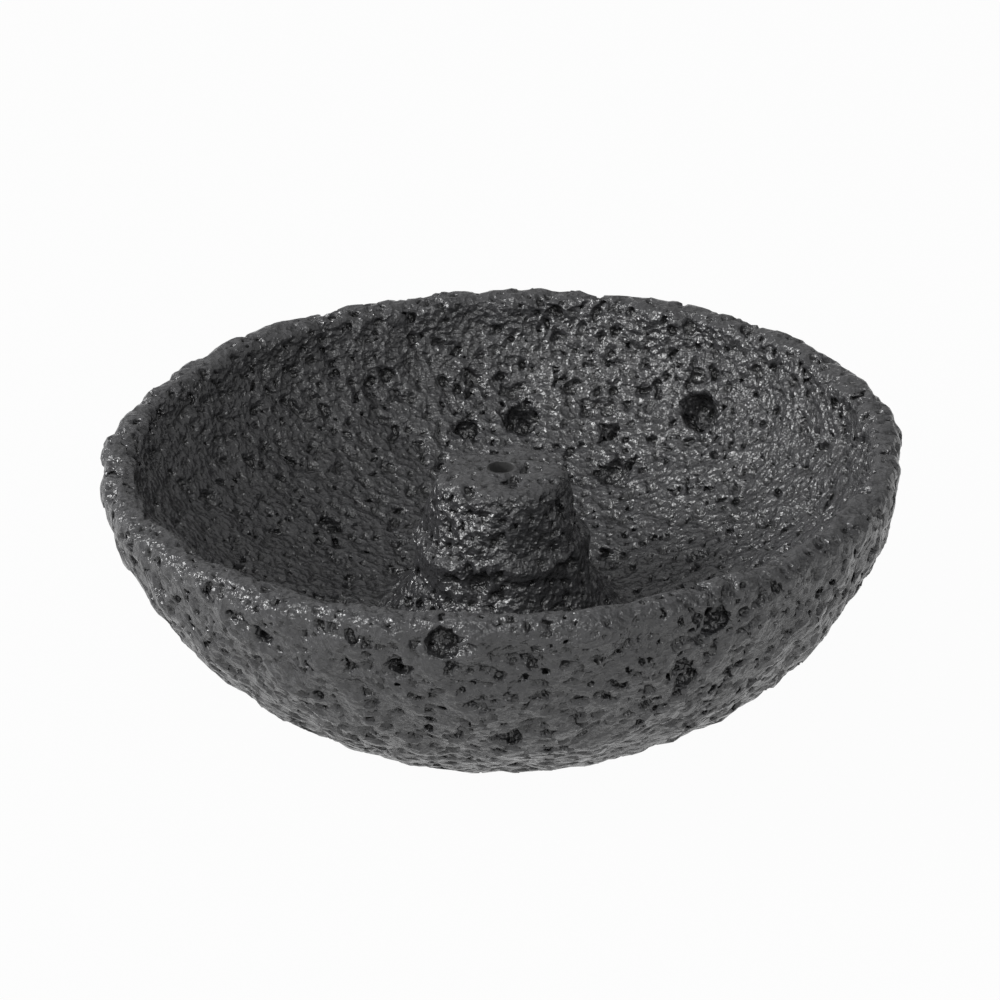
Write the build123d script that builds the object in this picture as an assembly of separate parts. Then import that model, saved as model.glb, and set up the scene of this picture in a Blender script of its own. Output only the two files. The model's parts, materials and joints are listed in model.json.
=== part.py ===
from build123d import *
import math
import os

# Incense stick holder: a round bowl carved from one lump of dark vesicular lava stone. A boss is
# left standing in the middle and drilled for the stick, and the trough round it catches the ash.
# Three rubber pads under the base keep the rough stone off the table.
# Millimetres, +Z up, origin on the table under the middle of the bowl.

# Stone bowl
bowl_diameter = 100.0
bowl_height = 32.0  # from the base flat to the middle of the leaning rim
base_diameter = 54.0
rim_wall = 5.0
rim_lean = 1.5  # degrees; the hand-cut rim stands higher towards +X
lean_growth = 3  # the lean sets in with this power of the share of the height
rim_round_share = 0.5  # radius on each rim edge, of the rim wall
rim_turn = 62.0  # degrees that each rim edge bends over
widest_above_rim = 2.0  # the wall still flares a little where the rim cuts it
floor_thickness = 8.0

# Boss in the middle of the bowl
boss_drop = 3.5  # from the rim down to the boss top
boss_top_diameter = 16.5
boss_foot_diameter = 25.5  # where the flank, drawn on straight, meets the floor
boss_edge_round = 2.0
boss_foot_round = 8.5
boss_foot_sink = 2.0  # how far the flare runs on into the floor

# Hand carving: the cut surfaces wander in and out in waves. A row is the number of waves round the
# bowl, the number of waves up its height, the start of the wave and its share of the depth.
carving_depth = 1.0  # from the highest place to the lowest
hollow_overcut = 0.4  # the gouge goes past the drawn inside of the wall
outside_wave_shares = [(37, 3.1, 0.13, 0.34), (23, -2.6, 0.57, 0.36), (13, 1.3, 0.81, 0.30)]
inside_wave_shares = [(27, -2.4, 0.35, 0.34), (17, 2.1, 0.72, 0.36), (9, 1.2, 0.08, 0.30)]
boss_wave_shares = [(7, 1.9, 0.80, 0.40), (5, -2.3, 0.35, 0.34), (3, 1.1, 0.66, 0.26)]
points_around = 150
points_round_boss = 40
sections_up = 16
sections_round_edge = 3
sections_up_flank = 5
flare_settling_rounds = 8
hidden_floor_share = 0.14  # radius of the flat under the boss where the hollow starts, of the rim's

# Stick hole, drilled down into the boss
hole_diameter = 3.0
hole_depth = 14.0
hole_tip_angle = 118.0  # degrees

# Rubber pads, glued to the base flat
pad_count = 3
pad_diameter = 10.0
pad_thickness = 2.0
pad_edge_gap = 6.0  # from a pad to the edge of the base flat
pad_bevel = 0.4
first_pad_angle = 90.0  # degrees; this pad is at the back

# Large gas bubbles that the carving has cut open. A row is the place round the bowl as a share of a
# turn from +X, the place up the wall (outside) or out from the axis (inside) as a share of the wall's
# height or of the inner radius, and the bubble's diameter as a share of the largest.
largest_bubble = 5.0
bubble_sink_share = 0.22  # how far a bubble's centre lies under the surface, of its diameter
outside_bubble_shares = [
    (0.728, 0.90, 0.72),
    (0.835, 0.87, 0.80),
    (0.752, 0.40, 0.62),
    (0.653, 0.80, 0.44),
    (0.640, 0.86, 0.36),
    (0.826, 0.63, 0.60),
    (0.710, 0.76, 0.42),
    (0.905, 0.70, 0.44),
    (0.560, 0.50, 0.50),
    (0.480, 0.78, 0.66),
    (0.405, 0.42, 0.54),
    (0.330, 0.84, 0.46),
    (0.262, 0.60, 0.78),
    (0.185, 0.36, 0.48),
    (0.120, 0.80, 0.62),
    (0.045, 0.55, 0.52),
]
inside_bubble_shares = [
    (0.400, 0.587, 0.66),
    (0.238, 0.800, 0.82),
    (0.270, 0.773, 0.64),
    (0.141, 0.886, 1.00),
    (0.174, 0.684, 0.60),
    (0.186, 0.795, 0.40),
    (0.265, 0.902, 0.40),
    (0.050, 0.560, 0.38),
    (0.615, 0.840, 0.56),
    (0.700, 0.640, 0.46),
    (0.780, 0.880, 0.72),
    (0.870, 0.740, 0.50),
    (0.520, 0.720, 0.42),
    (0.965, 0.860, 0.44),
]
# On the rim the second share is the place across the wall, from inside to outside.
rim_bubble_shares = [
    (0.328, 0.50, 0.60),
    (0.944, 0.30, 0.46),
    (0.535, 0.85, 0.44),
    (0.130, 0.40, 0.40),
    (0.770, 0.90, 0.34),
]

# Sizes that follow from the ones above
bowl_radius = bowl_diameter / 2
base_radius = base_diameter / 2
inner_rim_radius = bowl_radius - rim_wall
base_level = pad_thickness
rim_level = base_level + bowl_height
widest_level = rim_level + widest_above_rim
floor_level = base_level + floor_thickness
boss_top_level = rim_level - boss_drop
lean_slope = math.tan(math.radians(rim_lean))
rim_round = rim_wall * rim_round_share


def ellipse_through(upper_radius, upper_drop, lower_radius, lower_drop):
    """Half-axes (across, down) of the ellipse that is widest at zero drop and passes two points."""
    whole = (upper_radius * lower_drop) ** 2 - (lower_radius * upper_drop) ** 2
    across = math.sqrt(whole / (lower_drop**2 - upper_drop**2))
    down = math.sqrt(whole / (upper_radius**2 - lower_radius**2))
    return across, down


outer_across, outer_down = ellipse_through(
    bowl_radius, widest_above_rim, base_radius, widest_level - base_level
)
inner_across, inner_down = ellipse_through(
    inner_rim_radius, widest_above_rim, 0, widest_level - floor_level
)


def outer_radius_at(level):
    """Radius of the outside of the bowl at a level."""
    return outer_across * math.sqrt(1 - ((widest_level - level) / outer_down) ** 2)


def inner_level_at(radius):
    """Level of the inside of the bowl at a radius, with no boss."""
    return widest_level - inner_down * math.sqrt(1 - (radius / inner_across) ** 2)


def wander(wave_shares, turn_share, level):
    """How far the carving stands off the true surface, at a place round it and a level."""
    rise_share = (level - base_level) / bowl_height
    total = 0
    for waves, climbs, begin, depth_share in wave_shares:
        total += depth_share * math.sin(math.tau * (waves * turn_share + climbs * rise_share + begin))
    return carving_depth / 2 * total


def leaned(across, level):
    """Level of a point once the rim leans; the lean sets in towards the rim."""
    height_share = (level - base_level) / bowl_height
    return level + lean_slope * across * height_share**lean_growth


def ring(radius, level, wave_shares, points):
    """Closed curve round the axis, wandering in and out."""
    places = []
    for number in range(points):
        turn_share = number / points
        reach = radius + wander(wave_shares, turn_share, level)
        across = reach * math.cos(math.tau * turn_share)
        along = reach * math.sin(math.tau * turn_share)
        places.append((across, along, leaned(across, level)))
    return Wire(Spline(*places, periodic=True))


def hewn(profile, wave_shares, points):
    """Solid through the rings of a profile, from its lowest ring to its highest."""
    return Solid.make_loft([ring(radius, level, wave_shares, points) for radius, level in profile])


def wall_profile(across, down, lowest_radius, edge_side):
    """(radius, level) up an elliptical wall and round the rim edge, which turns in (-1) or out (1)."""
    full_bend = math.radians(rim_turn)
    edge_level = rim_level - rim_round * math.sin(full_bend)
    low_turn = math.asin(lowest_radius / across)
    high_turn = math.acos((widest_level - edge_level) / down)
    profile = []
    for number in range(sections_up):
        turn = low_turn + (high_turn - low_turn) * number / (sections_up - 1)
        profile.append((across * math.sin(turn), widest_level - down * math.cos(turn)))
    edge_radius = profile[-1][0]
    for number in range(1, sections_round_edge + 1):
        bend = full_bend * number / sections_round_edge
        radius = edge_radius + edge_side * rim_round * (1 - math.cos(bend))
        profile.append((radius, edge_level + rim_round * math.sin(bend)))
    return profile


def surface_normal(radius, level, across, down):
    """Unit (outwards, upwards) normal of an ellipse of revolution, pointing out of it."""
    outwards = radius * down**2
    upwards = (level - widest_level) * across**2
    length = math.hypot(outwards, upwards)
    return outwards / length, upwards / length


def bubble(turn_share, radius, level, normal, size_share):
    """Sphere with its centre sunk under a point of the surface, against the (outwards, upwards) normal.
    Its poles and seam lie in the stone, clear of the mouth."""
    diameter = largest_bubble * size_share
    angle = math.tau * turn_share
    normal = Vector(normal[0] * math.cos(angle), normal[0] * math.sin(angle), normal[1])
    along_wall = Vector(-math.sin(angle), math.cos(angle), 0)
    across = radius * math.cos(angle)
    mouth = Vector(across, radius * math.sin(angle), leaned(across, level))
    centre = mouth - normal * (diameter * bubble_sink_share)
    return Plane(centre, x_dir=normal * -1, z_dir=along_wall).location * Sphere(diameter / 2)


def outside_bubble(turn_share, height_share, size_share):
    level = base_level + bowl_height * height_share
    radius = outer_radius_at(level)
    normal = surface_normal(radius, level, outer_across, outer_down)
    radius += wander(outside_wave_shares, turn_share, level)
    return bubble(turn_share, radius, level, normal, size_share)


def inside_bubble(turn_share, radius_share, size_share):
    radius = inner_rim_radius * radius_share
    level = inner_level_at(radius)
    outwards, upwards = surface_normal(radius, level, inner_across, inner_down)
    radius += hollow_overcut + wander(inside_wave_shares, turn_share, level)
    return bubble(turn_share, radius, level, (-outwards, -upwards), size_share)


def rim_bubble(turn_share, across_share, size_share):
    radius = inner_rim_radius + rim_wall * across_share
    return bubble(turn_share, radius, rim_level, (0, 1), size_share)


def make_boss():
    """Tapered boss with a flared foot and a rounded top edge, from inside the floor up."""
    taper = (boss_foot_diameter - boss_top_diameter) / 2 / (boss_top_level - floor_level)
    slant = math.atan(taper)

    def flank_radius(level):
        return boss_top_diameter / 2 + taper * (boss_top_level - level)

    flare_radius = flank_radius(floor_level) + boss_foot_round
    for _ in range(flare_settling_rounds):
        flare_level = inner_level_at(flare_radius) + boss_foot_round - boss_foot_sink
        flare_radius = flank_radius(flare_level) + boss_foot_round / math.cos(slant)
    flare_top = flare_level + boss_foot_round * math.sin(slant)
    profile = [(flare_radius, (base_level + floor_level) / 2)]
    for number in range(sections_up):
        bend = (math.pi / 2 + slant) * number / (sections_up - 1)
        radius = flare_radius - boss_foot_round * math.sin(bend)
        profile.append((radius, flare_level - boss_foot_round * math.cos(bend)))
    edge_level = boss_top_level - boss_edge_round
    for number in range(1, sections_up_flank + 1):
        level = flare_top + (edge_level - flare_top) * number / sections_up_flank
        profile.append((flank_radius(level), level))
    edge_radius = flank_radius(edge_level)
    for number in range(1, sections_round_edge + 1):
        bend = math.pi / 2 * number / sections_round_edge
        radius = edge_radius - boss_edge_round * (1 - math.cos(bend))
        profile.append((radius, edge_level + boss_edge_round * math.sin(bend)))
    return hewn(profile, boss_wave_shares, points_round_boss)


def make_hole():
    """Drilled blind hole with its drill point."""
    radius = hole_diameter / 2
    tip_height = radius / math.tan(math.radians(hole_tip_angle / 2))
    bottom = Pos(0, 0, boss_top_level - hole_depth)
    upwards = (Align.CENTER, Align.CENTER, Align.MIN)
    downwards = (Align.CENTER, Align.CENTER, Align.MAX)
    shank = bottom * Cylinder(radius, hole_depth + boss_drop, align=upwards)
    tip = bottom * Cone(0, radius, tip_height, align=downwards)
    return shank + tip


def make_stone_bowl():
    lump = hewn(
        wall_profile(outer_across, outer_down, base_radius, -1), outside_wave_shares, points_around
    )
    hollow_profile = wall_profile(
        inner_across, inner_down, inner_rim_radius * hidden_floor_share, 1
    )
    rim_radius, level = hollow_profile[-1]
    overrun = rim_round * math.tan(math.radians(rim_turn))
    hollow_profile.append((rim_radius + overrun, level + rim_round))
    hollow_profile = [(radius + hollow_overcut, level) for radius, level in hollow_profile]
    hollow = hewn(hollow_profile, inside_wave_shares, points_around)
    bubbles = [outside_bubble(*row) for row in outside_bubble_shares]
    bubbles += [inside_bubble(*row) for row in inside_bubble_shares]
    bubbles += [rim_bubble(*row) for row in rim_bubble_shares]
    return lump - hollow + make_boss() - make_hole() - bubbles


def make_pad(number):
    """One disc, flat on both faces, with a bevel round its foot."""
    circle_radius = base_radius - pad_edge_gap - pad_diameter / 2
    angle = math.radians(first_pad_angle + 360 * number / pad_count)
    disc = Cylinder(pad_diameter / 2, pad_thickness, align=(Align.CENTER, Align.CENTER, Align.MIN))
    disc = chamfer(disc.edges().sort_by(Axis.Z)[0], pad_bevel)
    return Pos(circle_radius * math.cos(angle), circle_radius * math.sin(angle), 0) * disc


os.makedirs("parts", exist_ok=True)
nodes = {"stone_bowl": make_stone_bowl()}
for number in range(pad_count):
    nodes[f"foot_pad_{number + 1}"] = make_pad(number)
for name, shape in nodes.items():
    export_step(shape, f"parts/{name}.step")
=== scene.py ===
import json
import math

import bmesh
import bpy
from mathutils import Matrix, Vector


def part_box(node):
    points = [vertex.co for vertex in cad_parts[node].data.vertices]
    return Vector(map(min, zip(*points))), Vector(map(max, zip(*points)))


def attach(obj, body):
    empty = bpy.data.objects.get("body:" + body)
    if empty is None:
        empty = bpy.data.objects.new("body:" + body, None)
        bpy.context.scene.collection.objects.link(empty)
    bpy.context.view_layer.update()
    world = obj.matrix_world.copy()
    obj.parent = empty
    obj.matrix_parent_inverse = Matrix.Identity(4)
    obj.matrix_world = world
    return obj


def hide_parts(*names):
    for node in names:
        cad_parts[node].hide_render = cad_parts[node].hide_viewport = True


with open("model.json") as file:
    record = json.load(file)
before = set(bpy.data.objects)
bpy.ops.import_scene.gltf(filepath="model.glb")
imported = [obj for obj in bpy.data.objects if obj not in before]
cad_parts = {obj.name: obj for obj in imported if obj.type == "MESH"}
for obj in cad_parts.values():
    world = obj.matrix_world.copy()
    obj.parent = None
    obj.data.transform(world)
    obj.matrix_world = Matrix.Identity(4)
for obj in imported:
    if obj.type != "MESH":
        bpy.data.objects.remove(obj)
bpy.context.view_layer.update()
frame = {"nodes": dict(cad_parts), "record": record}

# Camera: a long lens a little above the bowl, looking down into it from the front.
# The frame is shifted up so that the bowl sits low in the picture.
look_at = Vector((0.0, 0.0, 0.017))
camera_distance = 0.6
camera_elevation = math.radians(26.22)
towards_camera = Vector((0.0, -math.cos(camera_elevation), math.sin(camera_elevation)))
camera = bpy.data.objects.new("camera", bpy.data.cameras.new("camera"))
camera.data.sensor_width = 36.0
camera.data.sensor_fit = "HORIZONTAL"
camera.data.lens = 172.3
camera.data.shift_x = -0.0014
camera.data.shift_y = 0.0645
camera.data.clip_start = 0.01
camera.data.clip_end = 20.0


def point_at_bowl(fitting, place):
    """Puts the camera or a lamp in its place and turns it towards the bowl."""
    fitting.location = place
    fitting.rotation_euler = (look_at - fitting.location).to_track_quat("-Z", "Y").to_euler()
    bpy.context.scene.collection.objects.link(fitting)


point_at_bowl(camera, look_at + camera_distance * towards_camera)
bpy.context.scene.camera = camera


# Stone bowl: one lump of dark vesicular lava stone, carved round, hollowed about a boss and drilled.
# Carving cuts the gas bubbles of the stone open, so every face is pitted, and the edges crumble.
class Wire:
    """A socket in a node tree. Sums and products of wires add Math nodes to that tree."""

    def __init__(self, tree, socket=None):
        self.tree = tree
        self.socket = socket

    def node(self, kind, settings=None, sockets=None, output=0):
        """Adds a node with its settings, sets or links its sockets, and gives one of its outputs."""
        made = self.tree.nodes.new(kind)
        for name, setting in (settings or {}).items():
            setattr(made, name, setting)
        for name, value in (sockets or {}).items():
            if isinstance(value, Wire):
                self.tree.links.new(value.socket, made.inputs[name])
            else:
                made.inputs[name].default_value = value
        return Wire(self.tree, made.outputs[output] if made.outputs else None)

    def beside(self, output):
        """Another output of the node that this wire comes from."""
        return Wire(self.tree, self.socket.node.outputs[output])

    def maths(self, operation, *values):
        return self.node("ShaderNodeMath", {"operation": operation}, dict(enumerate(values)))

    def vector_maths(self, operation, *values, output=0):
        settings = {"operation": operation}
        return self.node("ShaderNodeVectorMath", settings, dict(enumerate(values)), output)

    def __add__(self, other):
        return self.maths("ADD", self, other)

    def __sub__(self, other):
        return self.maths("SUBTRACT", self, other)

    def __rsub__(self, other):
        return self.maths("SUBTRACT", other, self)

    def __mul__(self, other):
        return self.maths("MULTIPLY", self, other)

    def __truediv__(self, other):
        return self.maths("DIVIDE", self, other)

    def __rtruediv__(self, other):
        return self.maths("DIVIDE", other, self)

    __radd__ = __add__
    __rmul__ = __mul__

    def between(self, first, last):
        """A number that goes from first to last as this wire goes from 0 to 1."""
        return first + (last - first) * self

    def rescaled(self, low, high, first=0.0, last=1.0):
        """This wire with low to high stretched over first to last, and held at those ends."""
        sockets = {"Value": self, "From Min": low, "From Max": high, "To Min": first, "To Max": last}
        return self.node("ShaderNodeMapRange", None, sockets)

    def mixed_colour(self, first, last):
        """A colour that goes from first to last as this wire goes from 0 to 1."""
        return self.node("ShaderNodeMix", {"data_type": "RGBA"}, {0: self, 6: first, 7: last}, 2)

    def mixed_shader(self, first, last):
        """A finish that goes from first to last as this wire goes from 0 to 1."""
        return self.node("ShaderNodeMixShader", None, {0: self, 1: first, 2: last})

    def noise(self, per_metre, detail, output=0):
        """Cloudy noise at this place."""
        sockets = {"Vector": self, "Scale": per_metre, "Detail": detail}
        return self.node("ShaderNodeTexNoise", None, sockets, output)

    def cells(self, per_metre):
        """How far this place lies from the middle of the nearest cell, in cells."""
        return self.node("ShaderNodeTexVoronoi", None, {"Vector": self, "Scale": per_metre})

    def from_axis(self):
        """How far this place lies from the upright axis of the bowl."""
        flattened = self.vector_maths("MULTIPLY", self, (1.0, 1.0, 0.0))
        return self.vector_maths("LENGTH", flattened, output="Value")

    def level(self):
        """How high this place lies."""
        return self.node("ShaderNodeSeparateXYZ", None, {"Vector": self}, "Z")


def cleared_sheet(finish):
    """The empty node tree of a material or world, ready for its own nodes."""
    finish.use_nodes = True
    finish.node_tree.nodes.clear()
    return Wire(finish.node_tree)


millimetre = 0.001
stick_hole = next(mount for mount in frame["record"]["mounts"] if mount["name"] == "stick_hole")
bore_radius = stick_hole["dims"]["r_mm"] * millimetre
bore_depth = stick_hole["dims"]["length_mm"] * millimetre
bore_floor = stick_hole["pos_m"][2] - bore_depth / 2
stone_low, stone_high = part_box("stone_bowl")

# Finish of the stone: counts per metre, reaches in metres, ranges from least to most, shares of the bump
stone_dark = (0.015, 0.015, 0.0155, 1.0)
stone_pale = (0.034, 0.034, 0.036, 1.0)
soot_black = (0.008, 0.008, 0.008, 1.0)
soot_reach = bore_radius + 0.00005
clean_reach = bore_radius + 0.00035
patches_per_metre = 90.0
crumbs_per_metre = 1300.0
pores_per_metre = 1000.0
pinholes_per_metre = 2100.0
stir_per_metre = 700.0
stir_reach = 0.0006
# The pore and bend ranges below paint shade into the pits and pores, and a highlight onto the ridges.
pore_edges = (0.15, 0.7)
painted_light_bends = (0.43, 0.57)
painted_pore_shades = (0.5, 1.0)
patch_shades = (0.5, 1.5)
crumb_shades = (0.4, 1.6)
painted_pit_shade_to_ridge_light = (0.1, 1.9)
dull_roughness = 0.95
crumb_gloss = (0.53, 0.86)
pore_share = 0.65
pinhole_share = 0.22
crumb_share = 0.3
bump_height = 0.0006
stone_ior = 1.6


def make_lava_stone():
    """Near-black basalt: painted shade in the pits and pores, a painted highlight on the ridges, glassy
    crumbs, and soot in the stick hole.
    """
    material = bpy.data.materials.new("lava_stone")
    sheet = cleared_sheet(material)
    place = sheet.node("ShaderNodeTexCoord", output="Object")
    stir = place.noise(stir_per_metre, detail=2.0, output="Color")
    stirred = sheet.vector_maths("MULTIPLY_ADD", stir, (stir_reach,) * 3, place)
    patches = place.noise(patches_per_metre, detail=3.0)
    crumbs = place.noise(crumbs_per_metre, detail=4.0)
    pores = stirred.cells(pores_per_metre)
    pinholes = stirred.cells(pinholes_per_metre)
    # Painted shade: the colour darkens towards the middle of each bumped pore.
    painted_pore_shade = pores.rescaled(*pore_edges)
    # Painted shade and painted highlight: pointiness darkens the colour in the pits and lightens it on the
    # ridges.
    painted_pit_shade_and_ridge_light = sheet.node("ShaderNodeNewGeometry", output="Pointiness").rescaled(*painted_light_bends)
    # The stone's own tone varies at random in patches and crumbs; the pore and pointiness factors are
    # painted shade and highlight.
    tone_and_painted_shade = painted_pore_shade.between(*painted_pore_shades) * patches.between(*patch_shades)
    tone_and_painted_shade = tone_and_painted_shade * crumbs.between(*crumb_shades) * painted_pit_shade_and_ridge_light.between(*painted_pit_shade_to_ridge_light)
    under_bore = sheet.maths("LESS_THAN", place.level(), bore_floor / 2)
    clean = sheet.maths("MAXIMUM", place.from_axis().rescaled(soot_reach, clean_reach), under_bore)
    colour = clean.mixed_colour(soot_black, tone_and_painted_shade.mixed_colour(stone_dark, stone_pale))
    height = (pore_share * pores + pinhole_share * pinholes + crumb_share * crumbs) * clean
    bump = {"Height": height, "Strength": 1.0, "Distance": bump_height}
    surface = sheet.node(
        "ShaderNodeBsdfPrincipled",
        None,
        {
            "Base Color": colour,
            "Roughness": dull_roughness - crumbs.between(*crumb_gloss) * clean,
            "Normal": sheet.node("ShaderNodeBump", None, bump, "Normal"),
            "IOR": stone_ior,
        },
    )
    sheet.node("ShaderNodeOutputMaterial", None, {"Surface": surface})
    return material


# Carving of the stone, in metres
stone_grain = 0.0004
smooth_ring = 0.0009
carving_sizes = {
    "Grain": stone_grain,
    "Tool Mark Spacing": 0.009,
    "Tool Mark Depth": 0.0016,
    "Crumb Spacing": 0.0021,
    "Crumb Depth": 0.0009,
    "Large Bubble Spacing": 0.0058,
    "Large Bubble Radius": 0.0013,
    "Bubble Spacing": 0.0019,
    "Bubble Radius": 0.0008,
    "Small Bubble Spacing": 0.0012,
    "Small Bubble Radius": 0.00048,
    "Opened Depth": 0.0009,
    "Smooth Bore": bore_radius + smooth_ring,
    "Bore": bore_radius,
    "Bore Floor": bore_floor,
    "Base Level": stone_low.z,
    "Base Fade": 0.002,
}
step_names = ("Steps X", "Steps Y", "Steps Z")

# Each kind of bubble: its smallest size as a share of its largest, and where its scatter starts
bubble_kinds = {"Large Bubble": (0.0, 0.31), "Bubble": (0.25, 0.57), "Small Bubble": (0.4, 0.83)}
scatter_direction = (1.0, 0.7, 0.3)

# Shares, counts and limits that the carving works with
wave_middle = 0.42
bore_fade_share = 0.8
bubble_free_share = 0.5
skin_grains = 2.0
margin_grains = 3
skin_density = 0.5
smallest_island = 4000
most_triangles = 196000
merge_distance = 1e-7


def make_carving():
    """Nodes that carve the plain stone: tool marks, crumbled edges and the bubbles cut open.

    A place where hewn, hollows, drilled or carved is above 0 has no stone.
    """
    tree = bpy.data.node_groups.new("carved_lava", "GeometryNodeTree")
    inputs = {"Stone": "NodeSocketGeometry"}
    inputs |= {name: "NodeSocketFloat" for name in carving_sizes}
    inputs |= {"Lowest": "NodeSocketVector", "Highest": "NodeSocketVector"}
    inputs |= {name: "NodeSocketInt" for name in step_names}
    inputs |= {"Finish": "NodeSocketMaterial"}
    for name, socket_type in inputs.items():
        tree.interface.new_socket(name, in_out="INPUT", socket_type=socket_type)
    tree.interface.new_socket("Carved", in_out="OUTPUT", socket_type="NodeSocketGeometry")
    bench = Wire(tree)
    given = bench.node("NodeGroupInput", output="Stone")
    place = bench.node("GeometryNodeInputPosition")

    # Height above the plain stone
    nearest = bench.node("GeometryNodeProximity", {"target_element": "FACES"}, {"Geometry": given})
    facing = bench.node(
        "GeometryNodeFieldOnDomain",
        {"data_type": "FLOAT_VECTOR", "domain": "POINT"},
        {"Value": bench.node("GeometryNodeInputNormal")},
    )
    outwards = bench.node(
        "GeometryNodeSampleNearestSurface",
        {"data_type": "FLOAT_VECTOR"},
        {"Mesh": given, "Value": facing},
    )
    off_surface = bench.vector_maths("SUBTRACT", place, nearest)
    side = bench.vector_maths("DOT_PRODUCT", off_surface, outwards, output="Value")
    above = nearest.beside("Distance") * bench.maths("SIGN", side)

    # Tool marks and crumbled grain, which leave the bore and the base flat smooth
    smooth_bore = given.beside("Smooth Bore")
    away_from_bore = place.from_axis().rescaled(smooth_bore * bore_fade_share, smooth_bore)
    over_base = place.level() - given.beside("Base Level")
    off_base = over_base.rescaled(0.0, given.beside("Base Fade"))

    def waves(kind):
        noise = place.noise(1.0 / given.beside(kind + " Spacing"), detail=2.0)
        return (noise - wave_middle) * given.beside(kind + " Depth")

    hewn = above + (waves("Tool Mark") + waves("Crumb")) * away_from_bore * off_base

    def opened_bubbles(kind, smallest_share, start):
        """How far a place lies inside the nearest of the bubbles, whose sizes vary at random."""
        spacing = given.beside(kind + " Spacing")
        moved = bench.vector_maths("ADD", place, tuple(start * share for share in scatter_direction))
        cells = moved.cells(1.0 / spacing)
        luck = bench.node("FunctionNodeSeparateColor", None, {"Color": cells.beside("Color")})
        return given.beside(kind + " Radius") * luck.between(smallest_share, 1.0) - cells * spacing

    # Bubbles near enough to the surface to be cut open, and the drilled stick hole
    opened_depth = given.beside("Opened Depth")
    clear_of_bore = (away_from_bore - bubble_free_share) * opened_depth
    may_open = bench.maths("MINIMUM", hewn + opened_depth, clear_of_bore)
    bubbles = [opened_bubbles(kind, *values) for kind, values in bubble_kinds.items()]
    any_bubble = bubbles[0]
    for more in bubbles[1:]:
        any_bubble = bench.maths("MAXIMUM", any_bubble, more)
    hollows = bench.maths("MINIMUM", any_bubble, may_open)
    in_bore = given.beside("Bore") - place.from_axis()
    drilled = bench.maths("MINIMUM", in_bore, place.level() - given.beside("Bore Floor"))
    carved = bench.maths("MAXIMUM", bench.maths("MAXIMUM", hewn, hollows), drilled)

    # A block of stone with that much carved away, and the skin of what is left
    reach = given.beside("Grain") * skin_grains
    block = bench.node(
        "GeometryNodeVolumeCube",
        None,
        {
            "Density": carved.rescaled(reach, 0.0 - reach),
            "Min": given.beside("Lowest"),
            "Max": given.beside("Highest"),
            "Resolution X": given.beside("Steps X"),
            "Resolution Y": given.beside("Steps Y"),
            "Resolution Z": given.beside("Steps Z"),
        },
    )
    skin = bench.node(
        "GeometryNodeVolumeToMesh", {"resolution_mode": "GRID"}, {"Volume": block, "Threshold": skin_density}
    )
    island = bench.node("GeometryNodeInputMeshIsland", output="Island Index")
    island_size = bench.node(
        "GeometryNodeAccumulateField",
        {"data_type": "INT", "domain": "POINT"},
        {"Value": 1, "Group ID": island},
        "Total",
    )
    closed_bubble = bench.node(
        "FunctionNodeCompare",
        {"data_type": "FLOAT", "operation": "LESS_THAN"},
        {"A": island_size, "B": float(smallest_island)},
    )
    stone = bench.node(
        "GeometryNodeDeleteGeometry", {"domain": "POINT"}, {"Geometry": skin, "Selection": closed_bubble}
    )
    stone = bench.node("GeometryNodeSetShadeSmooth", None, {"Geometry": stone})
    stone = bench.node("GeometryNodeRealizeInstances", None, {"Geometry": stone})
    finish = given.beside("Finish")
    stone = bench.node("GeometryNodeSetMaterial", None, {"Geometry": stone, "Material": finish})
    bench.node("NodeGroupOutput", None, {"Carved": stone})
    return tree


def settled_mesh(piece):
    """The piece's mesh with its modifiers worked in."""
    view = bpy.context.evaluated_depsgraph_get()
    return bpy.data.meshes.new_from_object(piece.evaluated_get(view), depsgraph=view)


lava_stone = make_lava_stone()
plain_mesh = frame["nodes"]["stone_bowl"].data.copy()
plain_stone = bpy.data.objects.new("plain_stone", plain_mesh)
bpy.context.scene.collection.objects.link(plain_stone)
merged = bmesh.new()
merged.from_mesh(plain_mesh)
bmesh.ops.remove_doubles(merged, verts=merged.verts, dist=merge_distance)
merged.to_mesh(plain_mesh)
merged.free()
plain_mesh.shade_smooth()

margin = Vector((margin_grains * stone_grain,) * 3)
block_low = stone_low - margin
block_high = stone_high + margin
steps = [round((high - low) / stone_grain) for low, high in zip(block_low, block_high)]
carver = plain_stone.modifiers.new("carving", "NODES")
carver.node_group = make_carving()
sockets = carver.node_group.interface.items_tree
entries = {socket.name: socket.identifier for socket in sockets if socket.in_out == "INPUT"}
carver_values = carving_sizes | dict(zip(step_names, steps))
carver_values |= {"Lowest": block_low[:], "Highest": block_high[:], "Finish": lava_stone}
for name, value in carver_values.items():
    carver[entries[name]] = value
bowl = bpy.data.objects.new("stone_bowl_carved", settled_mesh(plain_stone))
bpy.context.scene.collection.objects.link(bowl)
bpy.data.objects.remove(plain_stone)

triangles = sum(len(face.vertices) - 2 for face in bowl.data.polygons)
if triangles > most_triangles:
    thinning = bowl.modifiers.new("thinning", "DECIMATE")
    thinning.ratio = most_triangles / triangles
    bowl.data = settled_mesh(bowl)
    bowl.modifiers.clear()
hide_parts("stone_bowl")
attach(bowl, "root")

# Foot pads: three discs cut from black rubber sheet, stuck to the base flat.
# They keep the rough stone off the table, and only a view from below shows them.
rubber_black = (0.010, 0.010, 0.010, 1.0)
rubber_dusty = (0.035, 0.035, 0.034, 1.0)
rubber_roughness = (0.7, 0.9)
dust_per_metre = 400.0
rubber_grain_per_metre = 3000.0
rubber_grain_strength = 0.4
rubber_grain_height = 0.0001


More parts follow.
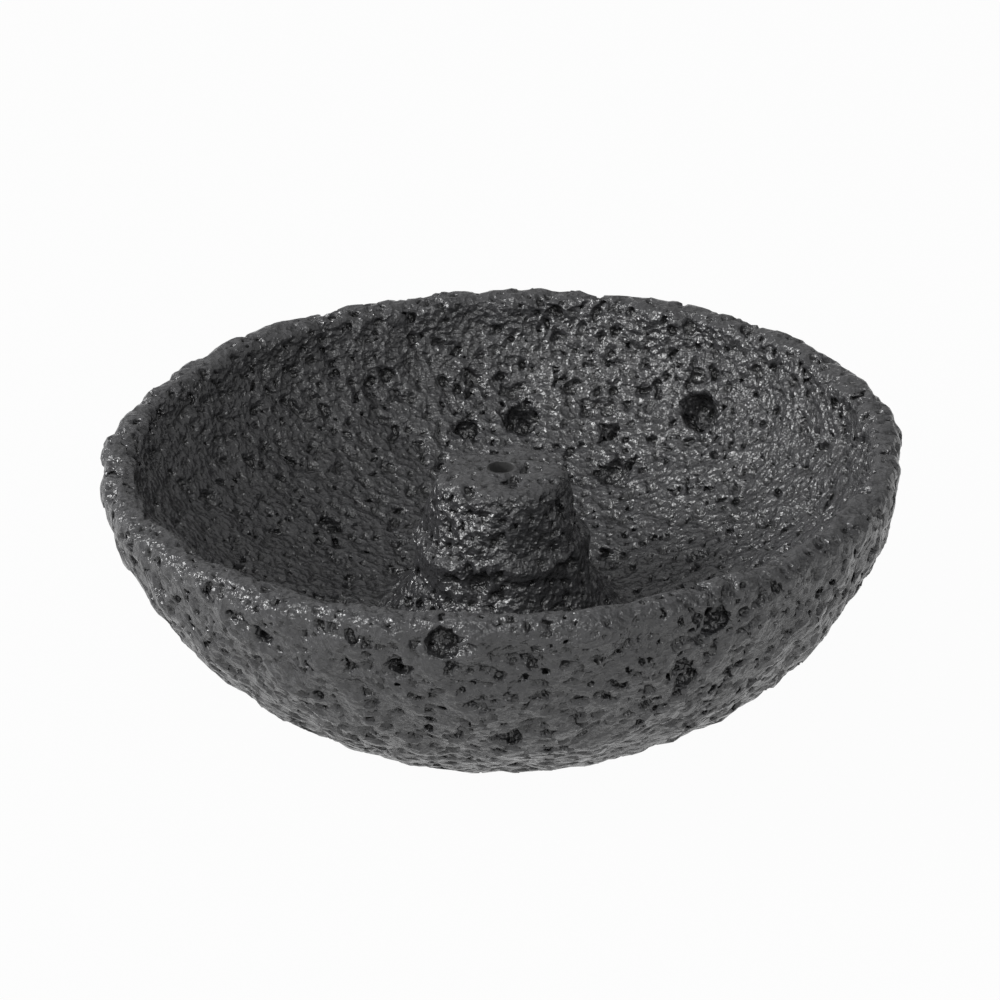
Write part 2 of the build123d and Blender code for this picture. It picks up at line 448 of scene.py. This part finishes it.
def make_pad_rubber():
    """Matt black rubber with a fine grain and a little dust."""
    material = bpy.data.materials.new("pad_rubber")
    sheet = cleared_sheet(material)
    place = sheet.node("ShaderNodeTexCoord", output="Object")
    dust = place.noise(dust_per_metre, detail=4.0)
    grain = place.noise(rubber_grain_per_metre, detail=2.0)
    bump = {"Height": grain, "Strength": rubber_grain_strength, "Distance": rubber_grain_height}
    surface = sheet.node(
        "ShaderNodeBsdfPrincipled",
        None,
        {
            "Base Color": dust.mixed_colour(rubber_black, rubber_dusty),
            "Roughness": dust.between(*rubber_roughness),
            "Normal": sheet.node("ShaderNodeBump", None, bump, "Normal"),
        },
    )
    sheet.node("ShaderNodeOutputMaterial", None, {"Surface": surface})
    return material


pad_rubber = make_pad_rubber()
for name in ("foot_pad_1", "foot_pad_2", "foot_pad_3"):
    pad = frame["nodes"][name]
    pad.data.materials.clear()
    pad.data.materials.append(pad_rubber)

# Floor: a plain white sheet of paper a hair under the pads, which takes a faint soft shadow.
# It can be seen through from below, so that a view of the underside shows the base and the pads.
floor_reach = 4.0
floor_gap = 0.00005
white = (1.0, 1.0, 1.0, 1.0)
paper_grey = (0.25, 0.25, 0.25, 1.0)
paper_glow = 0.97


def make_white_paper():
    """Paper that looks white and gives back little light to the stone."""
    material = bpy.data.materials.new("white_paper")
    sheet = cleared_sheet(material)
    rays = sheet.node("ShaderNodeLightPath", output="Is Camera Ray")
    seen = sheet.maths("MAXIMUM", rays, rays.beside("Is Glossy Ray"))
    seen = sheet.maths("MAXIMUM", seen, rays.beside("Is Transmission Ray"))
    matt = sheet.node("ShaderNodeBsdfDiffuse", None, {"Color": paper_grey})
    bright = sheet.node("ShaderNodeEmission", None, {"Color": white, "Strength": 1.0})
    clear = sheet.node("ShaderNodeBsdfTransparent")
    from_below = sheet.node("ShaderNodeNewGeometry", output="Backfacing")
    lit = (seen * paper_glow).mixed_shader(matt, bright)
    sheet.node("ShaderNodeOutputMaterial", None, {"Surface": from_below.mixed_shader(lit, clear)})
    return material


corner_signs = ((-1, -1), (1, -1), (1, 1), (-1, 1))
corners = [(floor_reach * across, floor_reach * along, 0) for across, along in corner_signs]
floor_mesh = bpy.data.meshes.new("floor")
floor_mesh.from_pydata(corners, [], [(0, 1, 2, 3)])
floor_mesh.materials.append(make_white_paper())
floor = bpy.data.objects.new("floor", floor_mesh)
floor.location.z = -floor_gap
bpy.context.scene.collection.objects.link(floor)

# Light: a soft window on the left, a weak round lamp in front, and a pale room about them.
# The room is brighter on the window's side, and the camera sees it plain white.
window_side = (-0.85, -0.5, 0.15)
far_side_glow = 0.36
window_side_glow = 0.80


def make_lamp(name, place, power, **form):
    """A flat lamp of the given form that shines on the bowl."""
    lamp = bpy.data.objects.new(name, bpy.data.lights.new(name, "AREA"))
    lamp.data.energy = power
    for setting, value in form.items():
        setattr(lamp.data, setting, value)
    point_at_bowl(lamp, place)


def make_room():
    """The world's light, as soft as that of a pale room."""
    world = bpy.data.worlds.new("room")
    sheet = cleared_sheet(world)
    direction = sheet.node("ShaderNodeTexCoord", output="Generated")
    towards_window = sheet.vector_maths("DOT_PRODUCT", direction, window_side, output="Value")
    glow = towards_window.rescaled(-1.0, 1.0, far_side_glow, window_side_glow)
    walls = sheet.node("ShaderNodeBackground", None, {"Color": white, "Strength": glow})
    backdrop = sheet.node("ShaderNodeBackground", None, {"Color": white, "Strength": 1.0})
    rays = sheet.node("ShaderNodeLightPath", output="Is Camera Ray")
    sheet.node("ShaderNodeOutputWorld", None, {"Surface": rays.mixed_shader(walls, backdrop)})
    return world


make_lamp("window", place=(-0.93, -0.16, 0.58), power=11.0, shape="RECTANGLE", size=0.5, size_y=0.3)
make_lamp("fill", place=(0.05, -0.74, 0.70), power=2.8, shape="DISK", size=0.5)
bpy.context.scene.world = make_room()
bpy.context.scene.view_settings.view_transform = "Standard"
